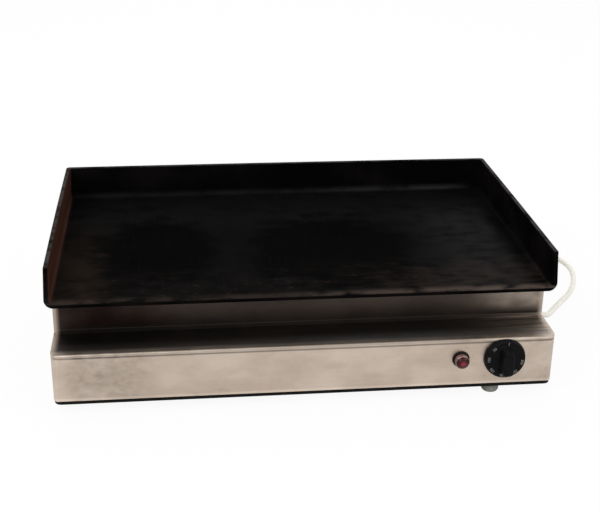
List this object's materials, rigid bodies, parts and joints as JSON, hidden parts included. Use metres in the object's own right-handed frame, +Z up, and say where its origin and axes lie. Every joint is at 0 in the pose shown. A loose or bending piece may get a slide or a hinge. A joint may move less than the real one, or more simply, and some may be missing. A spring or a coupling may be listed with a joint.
{
  "type": "electric countertop griddle",
  "caption": "Countertop electric griddle: open-fronted black steel tray on a stepped stainless casing, with a thermostat dial, pilot lamp, rubber feet, mains cord and plug.",
  "frame": {"origin": "on the table, under the middle of the griddle's footprint, the cord, its strain relief and plug left out", "axes": "+X to the right as the user sees it, +Y to the back, +Z up"},
  "size_m": [0.739, 0.5442, 0.17],
  "materials": {
    "black_steel": "blackened, oiled steel plate",
    "stainless": "brushed",
    "galvanised": "dull",
    "black_paint": "satin",
    "zinc_plate": "bright",
    "heater_sheath": "heat tinted",
    "mineral_wool": "matt fibre",
    "brass": "dull",
    "copper": "dull",
    "black_moulding": "satin",
    "pale_moulding": "matt",
    "black_rubber": "matt",
    "grey_rubber": "matt",
    "chrome": "polished",
    "red_lens": "clear red",
    "cream_vinyl": "semi-matt",
    "brown_wire": "semi-matt",
    "blue_wire": "semi-matt",
    "earth_wire": "semi-matt"
  },
  "bodies": {
    "casing": {"griddle_tray": "black_steel", "casing_shell": "stainless", "rear_panel": "stainless", "base_pan": "black_paint", "heat_shield": "galvanised", "insulation_blanket": "mineral_wool", "heating_element_front": "heater_sheath", "heating_element_middle": "heater_sheath", "heating_element_rear": "heater_sheath", "clamp_bar_left": "zinc_plate", "clamp_bar_right": "zinc_plate", "clamp_nut_1": "zinc_plate", "clamp_nut_2": "zinc_plate", "clamp_nut_3": "zinc_plate", "clamp_nut_4": "zinc_plate", "tray_nut_1": "zinc_plate", "tray_nut_2": "zinc_plate", "tray_nut_3": "zinc_plate", "tray_nut_4": "zinc_plate", "live_bus_bar": "brass", "neutral_bus_bar": "brass", "thermostat_body": "black_moulding", "thermostat_screw_1": "zinc_plate", "thermostat_screw_2": "zinc_plate", "capillary_tube": "copper", "sensing_bulb": "copper", "bulb_clip": "zinc_plate", "pilot_lamp_gasket": "black_rubber", "pilot_lamp_bezel": "chrome", "pilot_lamp_lens": "red_lens", "pilot_lamp_nut": "zinc_plate", "terminal_block": "pale_moulding", "cord_tail": "cream_vinyl", "lead_live": "brown_wire", "lead_heater": "brown_wire", "lead_neutral": "blue_wire", "lamp_lead_live": "brown_wire", "lamp_lead_neutral": "blue_wire", "lead_earth": "earth_wire", "foot_front_left": "grey_rubber", "foot_front_right": "grey_rubber", "foot_rear_left": "grey_rubber", "foot_rear_right": "grey_rubber", "rear_screw_1": "zinc_plate", "rear_screw_2": "zinc_plate", "rear_screw_3": "zinc_plate", "rear_screw_4": "zinc_plate", "pan_screw_1": "zinc_plate", "pan_screw_2": "zinc_plate", "pan_screw_3": "zinc_plate", "pan_screw_4": "zinc_plate", "strain_relief": "black_rubber", "mains_cord": "cream_vinyl", "cord_coil": "cream_vinyl", "cord_tie": "black_rubber", "plug_body": "cream_vinyl", "plug_pin_1": "zinc_plate", "plug_pin_2": "zinc_plate"},
    "dial": {"thermostat_knob": "black_moulding", "thermostat_spindle": "zinc_plate"}
  },
  "joints": [
    {"name": "dial_turn", "type": "hinge", "parent": "casing", "child": "dial", "pos_m": [0.2326, -0.17975, 0.051], "axis": [0, 1, 0], "range_deg": [0, 265]}
  ]
}
